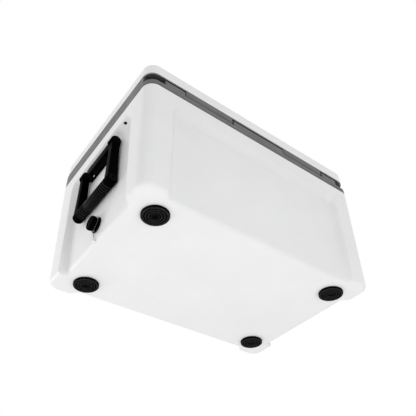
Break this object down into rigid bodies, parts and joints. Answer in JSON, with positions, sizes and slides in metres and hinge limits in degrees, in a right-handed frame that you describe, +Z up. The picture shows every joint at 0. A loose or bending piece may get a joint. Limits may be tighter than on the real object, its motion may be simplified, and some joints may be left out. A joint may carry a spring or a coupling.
{
  "type": "cooler chest",
  "caption": "Hard-sided insulated cooler chest with hinged lid, swing handles on both ends, front latches, rubber feet and a tethered screw drain plug.",
  "frame": {"origin": "on the floor, under the centre of the chest's bounding box", "axes": "+X along the length towards the end with the drain, +Y towards the hinge side, +Z up"},
  "size_m": [0.7054, 0.4656, 0.413],
  "materials": {
    "white_shell": "satin",
    "grey_liner": "satin",
    "foam": "matte",
    "black_plastic": "satin",
    "soft_black": "matte",
    "foot_rubber": "matte",
    "seal_rubber": "matte",
    "steel": "satin",
    "cable": "satin"
  },
  "bodies": {
    "chest": {"body_shell": "white_shell", "body_foam": "foam", "body_liner": "grey_liner", "hinge_rod": "steel", "drain_fitting": "black_plastic", "drain_nut": "black_plastic", "drain_washer": "seal_rubber", "drain_cable": "cable", "cable_ferrule": "cable", "cable_crimp": "cable", "cable_anchor": "steel", "vent_plug": "black_plastic", "foot_front_left": "foot_rubber", "foot_front_right": "foot_rubber", "foot_back_left": "foot_rubber", "foot_back_right": "foot_rubber", "foot_screw_front_left": "steel", "foot_screw_front_right": "steel", "foot_screw_back_left": "steel", "foot_screw_back_right": "steel", "latch_left_keeper": "black_plastic", "latch_right_keeper": "black_plastic", "handle_left_bracket": "black_plastic", "handle_left_pin_front": "black_plastic", "handle_left_pin_back": "black_plastic", "handle_left_screw_0": "steel", "handle_left_screw_1": "steel", "handle_right_bracket": "black_plastic", "handle_right_pin_front": "black_plastic", "handle_right_pin_back": "black_plastic", "handle_right_screw_0": "steel", "handle_right_screw_1": "steel"},
    "lid": {"lid_shell": "white_shell", "lid_foam": "foam", "lid_liner": "grey_liner", "lid_gasket": "seal_rubber", "latch_left_anchor": "black_plastic", "latch_right_anchor": "black_plastic", "latch_left_pin": "steel", "latch_right_pin": "steel"},
    "handle_left": {"handle_left_bail": "black_plastic", "handle_left_grip": "soft_black"},
    "handle_right": {"handle_right_bail": "black_plastic", "handle_right_grip": "soft_black"},
    "latch_left": {"latch_left_strap": "soft_black"},
    "latch_right": {"latch_right_strap": "soft_black"},
    "drain_seal": {"drain_seal": "seal_rubber"},
    "drain_plug": {"drain_plug": "black_plastic"}
  },
  "joints": [
    {"name": "lid_hinge", "type": "hinge", "parent": "chest", "child": "lid", "pos_m": [0, 0.219, 0.36], "axis": [-1, 0, 0], "range_deg": [0, 100]},
    {"name": "handle_right_swing", "type": "hinge", "parent": "chest", "child": "handle_right", "pos_m": [0.3395, 0, 0.256], "axis": [0, -1, 0], "range_deg": [0, 100]},
    {"name": "handle_left_swing", "type": "hinge", "parent": "chest", "child": "handle_left", "pos_m": [-0.3395, 0, 0.256], "axis": [0, 1, 0], "range_deg": [0, 100]},
    {"name": "latch_left_swing", "type": "hinge", "parent": "lid", "child": "latch_left", "pos_m": [-0.17, -0.2262, 0.392], "axis": [-1, 0, 0], "range_deg": [0, 110]},
    {"name": "latch_right_swing", "type": "hinge", "parent": "lid", "child": "latch_right", "pos_m": [0.17, -0.2262, 0.392], "axis": [-1, 0, 0], "range_deg": [0, 110]},
    {"name": "drain_seal_slide", "type": "slide", "parent": "chest", "child": "drain_seal", "axis": [1, 0, 0], "range_m": [0, 0.0091]},
    {"name": "drain_plug_turn", "type": "hinge", "parent": "drain_seal", "child": "drain_plug", "pos_m": [0.33, 0, 0.056], "axis": [1, 0, 0], "range_deg": [0, 1080]}
  ],
  "couplings": [
    {"joint": "drain_seal_slide", "follows": "drain_plug_turn", "m_per_rad": 0.00047746}
  ]
}
